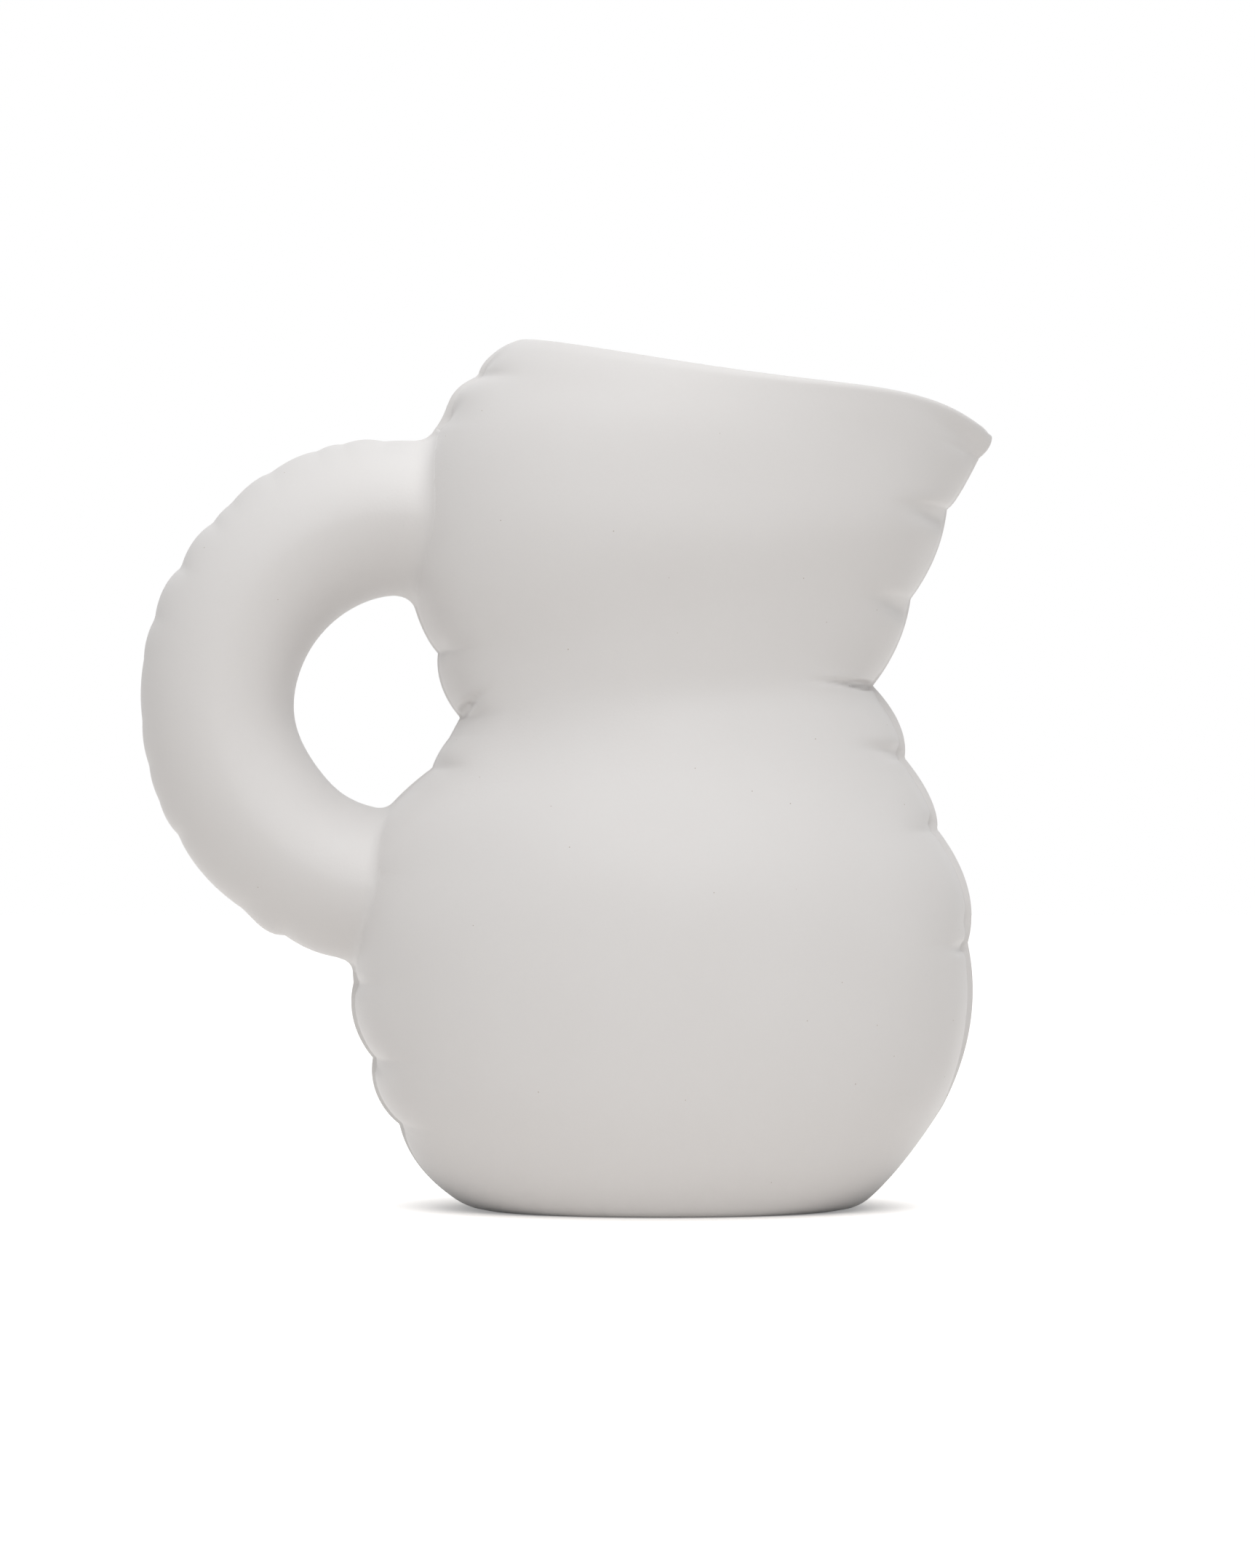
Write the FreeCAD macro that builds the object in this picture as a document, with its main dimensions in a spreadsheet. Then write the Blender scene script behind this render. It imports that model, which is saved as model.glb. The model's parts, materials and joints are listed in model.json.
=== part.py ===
import FreeCAD, Part
import itertools
import math
import os

import Sketcher

# A puffed ceramic jug: two clay sheets joined along a puckered seam, with a fat hollow handle.
# Millimetres. +X points to the pouring lip, +Y away from the viewer and +Z up.
# The origin is the middle of the face that the jug rests on.

SIZES = (
    # Seam of the body at five stations: how far it stands left and right, how deep the body is there,
    # and how much higher the station lies than the one below.
    ("base_left", 51.6), ("base_right", 51.6), ("base_half_depth", 43),
    ("bulb_left", 85.2), ("bulb_right", 85.6), ("bulb_height", 62), ("bulb_half_depth", 65),
    ("neck_left", 59.5), ("neck_right", 61.3), ("neck_left_rise", 76), ("neck_right_rise", 82),
    ("neck_half_depth", 46),
    ("shoulder_left", 70), ("shoulder_right", 76.8), ("shoulder_left_rise", 42), ("shoulder_right_rise", 40),
    ("shoulder_half_depth", 55.5),
    ("rim_left", 41), ("lip_right", 91.4), ("rim_left_rise", 58.4), ("lip_right_rise", 29),
    ("rim_half_depth", 50),
    # The rim's line swells upwards before it drops to the tip of the lip.
    ("lip_arch", 4.6),
    # Body walls.
    ("wall", 4.5), ("foot_wall", 7), ("rim_round", 1.8), ("base_thickness", 6), ("glaze_thickness", 0.4),
    ("glaze_below_rim", 3), ("slip_gap", 0.1),
    # Puckers of the body's seam.
    ("pucker_depth", 2.4), ("pucker_reach", 16),
    # Handle: a tube on an arc about the middle of its curl, which lies beside the neck.
    ("handle_centre_out", 13.5), ("handle_centre_rise", 3.2),
    ("handle_top_radius", 48.8), ("handle_bottom_radius", 53),
    ("handle_half_width", 21.5), ("handle_half_depth", 20.5), ("handle_wall", 4),
    ("handle_pucker_depth", 0.8), ("handle_pucker_reach", 9),
    ("handle_overlap", 15), ("vent_radius", 1.25),
    # Fillets of slip round the handle's ends.
    ("fillet_size", 1.7), ("fillet_edge", 0.5), ("fillet_length", 5),
)

# Where the vent is, in degrees about the handle's centre from +X.
VENT_ANGLE = 226

# How finely the skins are drawn.
ROWS_PER_SPAN = (28, 38, 20, 22)
SECTION_STEPS = 22
HANDLE_STEPS = 84
HANDLE_SECTION_STEPS = 16
FILLET_STEPS = 12
HALVINGS = 30
RIM_ROUND_ANGLES = (28, 52, 72, 90)

# The seam's line between two stations: shares of the height, each with its share of the way out.
LEFT_SHARES = (
    ((0.08, 0.24), (0.145, 0.375), (0.31, 0.60), (0.46, 0.775), (0.685, 0.92)),
    ((0.24, 0.02), (0.43, 0.16), (0.63, 0.41), (0.73, 0.67), (0.816, 0.88), (0.91, 1.01)),
    ((0.14, 0.08), (0.31, 0.27), (0.536, 0.67), (0.71, 0.905)),
    ((0.34, 0.06), (0.54, 0.18), (0.70, 0.372), (0.83, 0.60), (0.93, 0.80)),
)
RIGHT_SHARES = (
    ((0.145, 0.34), (0.31, 0.58), (0.46, 0.77), (0.685, 0.935)),
    ((0.22, 0.03), (0.39, 0.15), (0.51, 0.32), (0.62, 0.49), (0.756, 0.70), (0.90, 0.90)),
    ((0.15, 0.06), (0.425, 0.35), (0.625, 0.57)),
    ((0.465, 0.38), (0.743, 0.70)),
)
DEPTH_SHARES = (
    ((0.145, 0.34), (0.31, 0.60), (0.46, 0.78), (0.685, 0.93)),
    ((0.22, 0.03), (0.40, 0.16), (0.60, 0.44), (0.78, 0.74), (0.90, 0.91)),
    ((0.15, 0.06), (0.40, 0.30), (0.65, 0.62)),
    ((0.35, 0.02), (0.70, 0.40)),
)

# Valleys of the puckers: share of the side's height, and share of the pucker depth.
LEFT_VALLEY_SHARES = (
    (0.0, 0.0), (0.098, 0.5), (0.165, 0.8), (0.26, 0.4), (0.38, 0.6), (0.515, 0.9), (0.563, 1.5),
    (0.637, 0.9), (0.72, 0.6), (0.80, 0.4), (0.885, 0.4), (0.962, 0.7), (1.0, 0.0),
)
RIGHT_VALLEY_SHARES = (
    (0.0, 0.0), (0.12, 0.3), (0.23, 0.3), (0.344, 0.6), (0.49, 0.9), (0.586, 0.9), (0.679, 1.5),
    (0.792, 0.6), (0.909, 0.7), (0.971, 0.3), (1.0, 0.0),
)
# Valleys along the handle's outer and inner edges, as shares of its sweep.
HANDLE_OUTER_VALLEY_SHARES = (
    0.042, 0.094, 0.129, 0.197, 0.261, 0.296, 0.371, 0.446, 0.498, 0.550, 0.579, 0.631, 0.683, 0.740,
    0.792, 0.815, 0.867, 0.919,
)
HANDLE_INNER_VALLEY_SHARES = (0.09, 0.22, 0.35, 0.48, 0.61, 0.74, 0.87)

# Fullness of a cross-section: 1 is an ellipse, less is fuller, more is pinched to an edge.
SECTION_POWER = 0.92
LIP_POWER = 1.6
# The lip's swell is highest where this power of the way across reaches one half.
LIP_ARCH_POWER = 3.6
# How fast the thick foot thins into the wall, and how late the handle's arc opens out.
FOOT_POWER = 1.5
HANDLE_OPENING_POWER = 3


def make_table(document):
    table = document.addObject("Spreadsheet::Sheet", "Sizes")
    for row, (alias, value) in enumerate(SIZES, start=1):
        table.set(f"A{row}", alias)
        table.set(f"B{row}", str(value))
        table.setAlias(f"B{row}", alias)
    document.recompute()
    return table


document = FreeCAD.newDocument("PuffedJug")
table = make_table(document)


def size(alias):
    return float(table.get(alias))


# The seam's stations, from the base up to the rim, whose right end is the lip.
STATIONS = ("base", "bulb", "neck", "shoulder", "rim")
LEFT_OUT = [size(f"{station}_left") for station in STATIONS]
RIGHT_OUT = [size(f"{station}_right") for station in STATIONS[:-1] + ("lip",)]
LEFT_UP, RIGHT_UP = (
    [0] + list(itertools.accumulate(size(alias) for alias in rises))
    for rises in (
        ("bulb_height", "neck_left_rise", "shoulder_left_rise", "rim_left_rise"),
        ("bulb_height", "neck_right_rise", "shoulder_right_rise", "lip_right_rise"),
    )
)
HALF_DEPTH = [size(f"{station}_half_depth") for station in STATIONS]
MIDDLE_UP = [(left + right) / 2 for left, right in zip(LEFT_UP, RIGHT_UP)]
NECK_PLACE = STATIONS.index("neck")
RIM_PLACE = STATIONS.index("rim")
RIM_SPAN = MIDDLE_UP[-1] - MIDDLE_UP[-2]


def height_at(heights, place):
    """Height of a place along the stations: 0 is the base and RIM_PLACE the rim."""
    span = min(int(place), len(heights) - 2)
    return heights[span] + (heights[span + 1] - heights[span]) * (place - span)


def place_at(heights, height):
    """The place along the stations that lies at a height."""
    for span, (low, high) in enumerate(zip(heights, heights[1:])):
        if height <= high or span == len(heights) - 2:
            return span + (height - low) / (high - low)


def reach_curve(reaches, heights, shares):
    """How far out the wall stands at a height, smooth through the stations and the shares between them."""
    points = []
    for span, between in enumerate(shares):
        step_out = reaches[span + 1] - reaches[span]
        for up, out in ((0, 0),) + between:
            points.append(FreeCAD.Vector(height_at(heights, span + up), reaches[span] + step_out * out, 0))
    points.append(FreeCAD.Vector(heights[-1], reaches[-1], 0))
    curve = Part.BSplineCurve()
    curve.interpolate(Points=points, Parameters=[point.x for point in points])
    return lambda height: curve.value(height).y


left_reach = reach_curve(LEFT_OUT, LEFT_UP, LEFT_SHARES)
right_reach = reach_curve(RIGHT_OUT, RIGHT_UP, RIGHT_SHARES)
depth_reach = reach_curve(HALF_DEPTH, MIDDLE_UP, DEPTH_SHARES)


def pucker(way, valleys):
    """Depth share of the puckers: sharp valleys with a round swell between each pair."""
    for (start, start_depth), (end, end_depth) in zip(valleys, valleys[1:]):
        if start <= way <= end:
            between = (way - start) / (end - start)
            return (start_depth + (end_depth - start_depth) * between) * (1 - math.sin(math.pi * between))
    return 0


def fading(distance, reach):
    """How much of a pucker is left at a distance from the seam."""
    return math.exp(-((distance / size(reach)) ** 2))


def wall_at(place):
    """Wall measured along a row: thicker at the foot, where the body curls under."""
    return size("wall") + (size("foot_wall") - size("wall")) * max(0, 1 - place) ** FOOT_POWER


def half_sine(angle, power):
    return math.sin(angle) ** power if 0 < angle < math.pi else 0


def body_point(place, angle, inset):
    """A point of the body: place runs up the stations, angle from the left seam round to the right."""
    left_height = height_at(LEFT_UP, place)
    right_height = height_at(RIGHT_UP, place)
    left = inset - left_reach(left_height)
    right = right_reach(right_height) - inset
    depth = depth_reach(height_at(MIDDLE_UP, place)) - inset
    half_width = (right - left) / 2
    from_left = half_width * (1 - math.cos(angle))
    from_right = half_width * (1 + math.cos(angle))
    left_pull = pucker(left_height / LEFT_UP[-1], LEFT_VALLEY_SHARES) * fading(from_left, "pucker_reach")
    right_pull = pucker(right_height / RIGHT_UP[-1], RIGHT_VALLEY_SHARES) * fading(from_right, "pucker_reach")
    pull = size("pucker_depth") * (left_pull + right_pull)
    drawn_in = 1 - pull / half_width
    across = (1 - math.cos(angle)) / 2
    rim_way = max(0, place - RIM_PLACE + 1)
    power = SECTION_POWER + (LIP_POWER - SECTION_POWER) * rim_way * across
    arch = size("lip_arch") * math.sin(math.pi * across**LIP_ARCH_POWER) * rim_way**2
    return FreeCAD.Vector(
        (left + right) / 2 - half_width * math.cos(angle) * drawn_in,
        -depth * half_sine(angle, power) * drawn_in,
        left_height + (right_height - left_height) * across + arch,
    )


def body_places(bottom, top):
    """Places of the rows, evenly spaced in each span."""
    places = [span + step / steps for span, steps in enumerate(ROWS_PER_SPAN) for step in range(steps)]
    margin = 1 / (2 * max(ROWS_PER_SPAN))
    return [bottom] + [place for place in places if bottom + margin < place < top - margin] + [top]


def body_rows(places, insets):
    angles = [math.pi * step / SECTION_STEPS for step in range(SECTION_STEPS + 1)]
    return [[body_point(place, angle, inset) for angle in angles] for place, inset in zip(places, insets)]


def mirrored(rows):
    return [[FreeCAD.Vector(point.x, -point.y, point.z) for point in row] for row in rows]


def skin(rows):
    surface = Part.BSplineSurface()
    surface.interpolate(rows)
    return surface


def ends_of(surface):
    first_row, last_row, first_column, last_column = surface.bounds()
    return surface.uIso(first_row).toShape(), surface.uIso(last_row).toShape()


def sides_of(surface):
    first_row, last_row, first_column, last_column = surface.bounds()
    return surface.vIso(first_column).toShape(), surface.vIso(last_column).toShape()


def strips(edges, other_edges):
    """A ruled face between each pair of edges."""
    faces = []
    for edge, other in zip(edges, other_edges):
        faces += Part.makeLoft([Part.Wire(edge), Part.Wire(other)], False, True).Faces
    return faces


def solid_of(faces):
    shell = Part.Shell(faces)
    shell.sewShape()
    solid = Part.Solid(shell)
    if solid.Volume < 0:
        solid.reverse()
    return solid


def thick_sheet(outer_rows, inner_rows):
    """A solid between two skins, closed by a ruled face along each of their four edges."""
    outer = skin(outer_rows)
    inner = skin(inner_rows)
    faces = [outer.toShape(), inner.toShape()]
    return solid_of(faces + strips(ends_of(outer) + sides_of(outer), ends_of(inner) + sides_of(inner)))


def closed_form(rows):
    """A solid whose front follows the rows and whose back mirrors them, with a lid at each end."""
    front = skin(rows)
    back = skin(mirrored(rows))
    return solid_of([front.toShape(), back.toShape()] + strips(ends_of(front), ends_of(back)))


def lining_form(outer_rows, inner_rows):
    """A thin cup between two forms: open at the top and closed by two floors."""
    outer = [skin(outer_rows), skin(mirrored(outer_rows))]
    inner = [skin(inner_rows), skin(mirrored(inner_rows))]
    faces = [surface.toShape() for surface in outer + inner]
    for front, back in (outer, inner):
        faces += strips(ends_of(front)[:1], ends_of(back)[:1])
    for wide, narrow in zip(outer, inner):
        faces += strips(ends_of(wide)[1:], ends_of(narrow)[1:])
    return solid_of(faces)


def add_form(label, shape):
    form = document.addObject("Part::Feature", label)
    form.Label = label
    form.Shape = shape
    form.Placement = FreeCAD.Placement()
    return form


def add_boolean(kind, label, base, tool):
    result = document.addObject(kind, label)
    result.Label = label
    result.Base = base
    result.Tool = tool
    result.Placement = FreeCAD.Placement()
    return result


def add_mirror(label, source):
    """The same piece on the far side of the seam's plane."""
    mirror = document.addObject("Part::Mirroring", label)
    mirror.Label = label
    mirror.Source = source
    mirror.Normal = FreeCAD.Vector(0, 1, 0)
    return mirror


# The body's two sheets. Their skins close on each other in a round edge at the rim.
def front_sheet_shape():
    round_start = RIM_PLACE - size("rim_round") / RIM_SPAN
    places = body_places(0, round_start)
    insets = [0 for place in places]
    for angle in RIM_ROUND_ANGLES:
        turn = math.radians(angle)
        places.append(round_start + (RIM_PLACE - round_start) * math.sin(turn))
        insets.append(size("rim_round") * (1 - math.cos(turn)))
    inner_insets = [wall_at(place) - inset for place, inset in zip(places, insets)]
    return thick_sheet(body_rows(places, insets), body_rows(places, inner_insets))


def body_form(inset_at):
    places = body_places(0, RIM_PLACE)
    return closed_form(body_rows(places, [inset_at(place) for place in places]))


front_body_sheet = add_form("front_body_sheet", front_sheet_shape())
back_body_sheet = add_mirror("back_body_sheet", front_body_sheet)
outside_of_body = add_form("outside_of_body", body_form(lambda place: -size("slip_gap")))
inside_of_body = add_form("inside_of_body", body_form(lambda place: wall_at(place) + size("slip_gap")))


# The base is a disc of rolled clay, trimmed to fit inside the walls.
def rolled_disc():
    disc = document.addObject("PartDesign::Body", "rolled_disc")
    sketch = disc.newObject("Sketcher::SketchObject", "disc_outline")
    floor_plane = [plane for plane in disc.Origin.OriginFeatures if plane.Role == "XY_Plane"][0]
    sketch.AttachmentSupport = [(floor_plane, "")]
    sketch.MapMode = "FlatFace"
    circle = Part.Circle(FreeCAD.Vector(), FreeCAD.Vector(0, 0, 1), size("bulb_right"))
    circle = sketch.addGeometry(circle, False)
    sketch.addConstraint(Sketcher.Constraint("Coincident", circle, 3, -1, 1))
    sketch.addConstraint(Sketcher.Constraint("Radius", circle, size("bulb_right")))
    sketch.renameConstraint(1, "disc_radius")
    sketch.setExpression("Constraints.disc_radius", "Sizes.bulb_right")
    pad = disc.newObject("PartDesign::Pad", "disc_thickness")
    pad.Profile = sketch
    pad.setExpression("Length", "Sizes.base_thickness")
    document.recompute()
    return disc


base_slab = add_boolean("Part::Common", "base_slab", rolled_disc(), inside_of_body)


# The glaze coats the floor and the walls, and stops a little below the rim.
def glaze_shape():
    outer_floor = (size("base_thickness") + size("slip_gap")) / size("bulb_height")
    inner_floor = outer_floor + size("glaze_thickness") / size("bulb_height")
    top = RIM_PLACE - size("glaze_below_rim") / RIM_SPAN
    outer_places = body_places(outer_floor, top)
    inner_places = body_places(inner_floor, top)
    outer_insets = [wall_at(place) + size("slip_gap") for place in outer_places]
    inner_insets = [wall_at(place) + size("slip_gap") + size("glaze_thickness") for place in inner_places]
    return lining_form(body_rows(outer_places, outer_insets), body_rows(inner_places, inner_insets))


inner_glaze = add_form("inner_glaze", glaze_shape())


# The handle is a tube on an arc. Its ends meet the body where its surface crosses the body's skin.
def on_arc(radius, angle):
    turn = math.radians(angle)
    across = radius * math.cos(turn) - size("neck_left") - size("handle_centre_out")
    return across, radius * math.sin(turn) + LEFT_UP[NECK_PLACE] + size("handle_centre_rise")


def beyond_body(across, forward, height):
    """Whether a point beside the left seam lies outside the body's skin."""
    place = place_at(LEFT_UP, height)
    left = left_reach(height)
    from_left = (across + left) / (left + right_reach(height_at(RIGHT_UP, place)))
    if from_left <= 0:
        return True
    angle = math.acos(1 - 2 * from_left)
    return forward > depth_reach(height_at(MIDDLE_UP, place)) * half_sine(angle, SECTION_POWER)


def crossing(point_at, inside):
    """The angle where a line from the handle's far side crosses the skin, on its way to inside."""
    outside = HALF_TURN
    for halving in range(HALVINGS):
        middle = (outside + inside) / 2
        if beyond_body(*point_at(middle)):
            outside = middle
        else:
            inside = middle
    return outside


def centre_line(radius):
    """The handle's centre line at one radius, as a point for each angle."""
    def point_at(angle):
        across, height = on_arc(radius, angle)
        return across, 0, height
    return point_at


HALF_TURN = 180
TOP_ANGLE = crossing(centre_line(size("handle_top_radius")), 0)
BOTTOM_ANGLE = crossing(centre_line(size("handle_bottom_radius")), 2 * HALF_TURN)


def handle_radius(way):
    """The arc opens out a little towards its lower end."""
    grown = min(max(way, 0), 1) ** HANDLE_OPENING_POWER
    return size("handle_top_radius") + (size("handle_bottom_radius") - size("handle_top_radius")) * grown


def handle_point(angle, around, grow):
    """A point of the tube: angle runs along the arc, around from the outer edge to the inner one."""
    way = (angle - TOP_ANGLE) / (BOTTOM_ANGLE - TOP_ANGLE)
    half_width = size("handle_half_width") + grow
    from_outer = half_width * (1 - math.cos(around))
    from_inner = half_width * (1 + math.cos(around))
    outer_pull = pucker(way, OUTER_VALLEYS) * fading(from_outer, "handle_pucker_reach")
    inner_pull = pucker(way, INNER_VALLEYS) * fading(from_inner, "handle_pucker_reach")
    pull = size("handle_pucker_depth") * (outer_pull + inner_pull)
    drawn_in = 1 - pull / half_width
    across, height = on_arc(handle_radius(way) + half_width * math.cos(around) * drawn_in, angle)
    return FreeCAD.Vector(across, -(size("handle_half_depth") + grow) * half_sine(around, 1) * drawn_in, height)


# The puckers die out at the joints.
OUTER_VALLEYS, INNER_VALLEYS = (
    [(0, 0)] + [(share, 1) for share in shares] + [(1, 0)]
    for shares in (HANDLE_OUTER_VALLEY_SHARES, HANDLE_INNER_VALLEY_SHARES)
)
AROUND = [math.pi * step / HANDLE_SECTION_STEPS for step in range(HANDLE_SECTION_STEPS + 1)]


def skin_line(around):
    """A line along the tube's surface, as a point for each angle."""
    def point_at(angle):
        point = handle_point(angle, around, 0)
        return point.x, -point.y, point.z
    return point_at


TOP_CROSSINGS = [crossing(skin_line(around), 0) for around in AROUND]
BOTTOM_CROSSINGS = [crossing(skin_line(around), 2 * HALF_TURN) for around in AROUND]


def handle_rows(grow):
    """Rows of the tube, which runs on into the body at both ends."""
    start = min(TOP_CROSSINGS) - math.degrees(size("handle_overlap") / size("handle_top_radius"))
    end = max(BOTTOM_CROSSINGS) + math.degrees(size("handle_overlap") / size("handle_bottom_radius"))
    angles = [start + (end - start) * step / HANDLE_STEPS for step in range(HANDLE_STEPS + 1)]
    return [[handle_point(angle, around, grow) for around in AROUND] for angle in angles]


handle_skins = thick_sheet(handle_rows(0), handle_rows(-size("handle_wall")))
handle_half_blank = add_form("handle_half_blank", handle_skins)
handle_front_half = add_boolean("Part::Cut", "handle_front_half", handle_half_blank, outside_of_body)
handle_back_unvented = add_mirror("handle_back_unvented", handle_front_half)

# The vent lets the handle's trapped air out. It is low on the back, out of sight.
vent = document.addObject("Part::Cylinder", "vent")
vent.setExpression("Radius", "Sizes.vent_radius")
vent.setExpression("Height", "Sizes.handle_half_depth")
vent_across, vent_height = on_arc(handle_radius(0.5), VENT_ANGLE)
vent.Placement = FreeCAD.Placement(
    FreeCAD.Vector(vent_across, size("handle_half_depth") / 2, vent_height),
    FreeCAD.Rotation(FreeCAD.Vector(1, 0, 0), -90),
)
handle_back_half = add_boolean("Part::Cut", "handle_back_half", handle_back_unvented, vent)


# Each end of the handle is luted on with slip, wiped to a hollow fillet that follows the body's skin.
def fillet_rows(crossings, outwards, radius):
    """Rows from inside the body out along the handle."""
    reach = size("handle_overlap") / 2 + size("fillet_length")
    rows = []
    for step in range(FILLET_STEPS + 1):
        along = reach * step / FILLET_STEPS - size("handle_overlap") / 2
        left_over = min(1, max(0, 1 - along / size("fillet_length")))
        grow = size("fillet_edge") + (size("fillet_size") - size("fillet_edge")) * left_over**2
        row = []
        for around, seam_angle in zip(AROUND, crossings):
            line_radius = radius + size("handle_half_width") * math.cos(around)
            row.append(handle_point(seam_angle + outwards * math.degrees(along / line_radius), around, grow))
        rows.append(row)
    return rows


tube = add_form("tube", closed_form(handle_rows(size("slip_gap"))))
joints = []
for label, crossings, outwards, radius in (
    ("upper_handle_joint", TOP_CROSSINGS, 1, size("handle_top_radius")),
    ("lower_handle_joint", BOTTOM_CROSSINGS, -1, size("handle_bottom_radius")),
):
    blank = add_form(f"{label}_blank", closed_form(fillet_rows(crossings, outwards, radius)))
    ring = add_boolean("Part::Cut", f"{label}_ring", blank, tube)
    joints.append(add_boolean("Part::Cut", label, ring, outside_of_body))

document.recompute()
pieces = [front_body_sheet, back_body_sheet, base_slab, inner_glaze]
pieces += [handle_front_half, handle_back_half] + joints

for thing in document.Objects:
    if "Invalid" in thing.State or "Error" in thing.State:
        raise RuntimeError(f"{thing.Name} did not build: {thing.State}")
for piece in pieces:
    if piece.Shape.isNull() or not piece.Shape.isValid():
        raise RuntimeError(f"{piece.Label} has no valid shape")

os.makedirs("parts", exist_ok=True)
for piece in pieces:
    piece.Shape.exportStep(f"parts/{piece.Label}.step")
    box = piece.Shape.BoundBox
    print(
        f"{piece.Label}: {len(piece.Shape.Solids)} solid, {piece.Shape.Volume / 1000:.1f} ml, "
        f"{box.XLength:.1f} x {box.YLength:.1f} x {box.ZLength:.1f} mm"
    )
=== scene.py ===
# %% [markdown]
# A puffed ceramic jug, dressed around its packed construction.
# The real jug is made like a pillow: two sheets of white clay are joined along a seam, blown out while
# they are soft, and fitted with a fat hollow handle. It is left matt outside and glazed inside.
# The construction is loaded first. It gives every piece its place, and nothing in it is moved.

# %% Load the construction
import json
import math

import bpy
import numpy as np
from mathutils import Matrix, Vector
from mathutils.bvhtree import BVHTree

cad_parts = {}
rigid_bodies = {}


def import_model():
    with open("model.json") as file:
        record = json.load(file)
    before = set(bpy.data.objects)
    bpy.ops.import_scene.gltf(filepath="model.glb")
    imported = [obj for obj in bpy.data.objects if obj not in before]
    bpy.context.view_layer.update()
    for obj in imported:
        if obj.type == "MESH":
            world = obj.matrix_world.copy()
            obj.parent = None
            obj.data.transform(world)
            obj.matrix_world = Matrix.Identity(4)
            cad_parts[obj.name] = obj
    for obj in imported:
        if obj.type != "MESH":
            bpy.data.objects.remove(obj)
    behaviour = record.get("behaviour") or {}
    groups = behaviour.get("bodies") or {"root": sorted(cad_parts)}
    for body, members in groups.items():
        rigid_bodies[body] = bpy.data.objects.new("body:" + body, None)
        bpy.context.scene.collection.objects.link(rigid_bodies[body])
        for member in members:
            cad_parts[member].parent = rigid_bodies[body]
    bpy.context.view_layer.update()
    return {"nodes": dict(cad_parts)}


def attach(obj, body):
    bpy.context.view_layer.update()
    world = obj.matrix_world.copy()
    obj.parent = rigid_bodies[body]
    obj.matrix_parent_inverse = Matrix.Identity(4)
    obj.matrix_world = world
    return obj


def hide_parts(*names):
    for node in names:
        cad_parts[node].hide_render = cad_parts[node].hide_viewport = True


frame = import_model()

MM = 0.001
# Keeps a division from meeting zero.
TINY = 1e-9

# %% [markdown]
# The camera looks at the jug's flat side from straight in front, from far away and a little below half
# its height, so the rim and the base show almost as lines. A long lens does that. The focal length could
# be guessed and tried, but here it follows from two measures: how far the camera stands and how many
# millimetres the picture's long side has to take in.

# %% Camera
CAMERA_DISTANCE = 1800
CAMERA_ACROSS = -9.5
CAMERA_HEIGHT = 116.6
PICTURE_HEIGHT = 431.2
SENSOR = 36

camera_data = bpy.data.cameras.new("camera")
camera_data.sensor_width = SENSOR
camera_data.lens = SENSOR * CAMERA_DISTANCE / PICTURE_HEIGHT
camera = bpy.data.objects.new("camera", camera_data)
camera.location = Vector((CAMERA_ACROSS, -CAMERA_DISTANCE, CAMERA_HEIGHT)) * MM
camera.rotation_euler = (math.radians(90), 0, 0)
bpy.context.scene.collection.objects.link(camera)
bpy.context.scene.camera = camera
print("lens, mm:", round(camera_data.lens, 1))

# %% [markdown]
# The seam's outline is what the eye knows the jug by. It has five stations: base, bulb, neck, shoulder
# and rim. Between two stations a few points give the line's swing, each as a share of the way up and of
# the way out. One smooth curve through all of them is closer to blown clay than arcs set end to end.

# %% Stations of the seam
# Left reach, right reach, left height, right height and half depth of each station, in millimetres.
STATIONS = {
    "base": (51.6, 51.6, 0, 0, 43),
    "bulb": (85.2, 85.6, 62, 62, 65),
    "neck": (59.5, 61.3, 138, 144, 46),
    "shoulder": (70, 76.8, 180, 184, 55.5),
    "rim": (41, 91.4, 238.4, 213, 50),
}
LEFT_OUT, RIGHT_OUT, LEFT_UP, RIGHT_UP, HALF_DEPTH = np.array(list(STATIONS.values()), float).T
MIDDLE_UP = (LEFT_UP + RIGHT_UP) / 2
RIM_PLACE = len(STATIONS) - 1
RIM_SPAN = MIDDLE_UP[-1] - MIDDLE_UP[-2]

# Share of the way up and share of the way out, for the points between two stations.
LEFT_SHARES = (
    ((0.08, 0.24), (0.145, 0.375), (0.31, 0.60), (0.46, 0.775), (0.685, 0.92)),
    ((0.24, 0.02), (0.43, 0.16), (0.63, 0.41), (0.73, 0.67), (0.816, 0.88), (0.91, 1.01)),
    ((0.14, 0.08), (0.31, 0.27), (0.536, 0.67), (0.71, 0.905)),
    ((0.34, 0.06), (0.54, 0.18), (0.70, 0.372), (0.83, 0.60), (0.93, 0.80)),
)
RIGHT_SHARES = (
    ((0.145, 0.34), (0.31, 0.58), (0.46, 0.77), (0.685, 0.935)),
    ((0.22, 0.03), (0.39, 0.15), (0.51, 0.32), (0.62, 0.49), (0.756, 0.70), (0.90, 0.90)),
    ((0.15, 0.06), (0.425, 0.35), (0.625, 0.57)),
    ((0.465, 0.38), (0.743, 0.70)),
)
DEPTH_SHARES = (
    ((0.145, 0.34), (0.31, 0.60), (0.46, 0.78), (0.685, 0.93)),
    ((0.22, 0.03), (0.40, 0.16), (0.60, 0.44), (0.78, 0.74), (0.90, 0.91)),
    ((0.15, 0.06), (0.40, 0.30), (0.65, 0.62)),
    ((0.35, 0.02), (0.70, 0.40)),
)
print("stations:", ", ".join(STATIONS))


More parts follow.
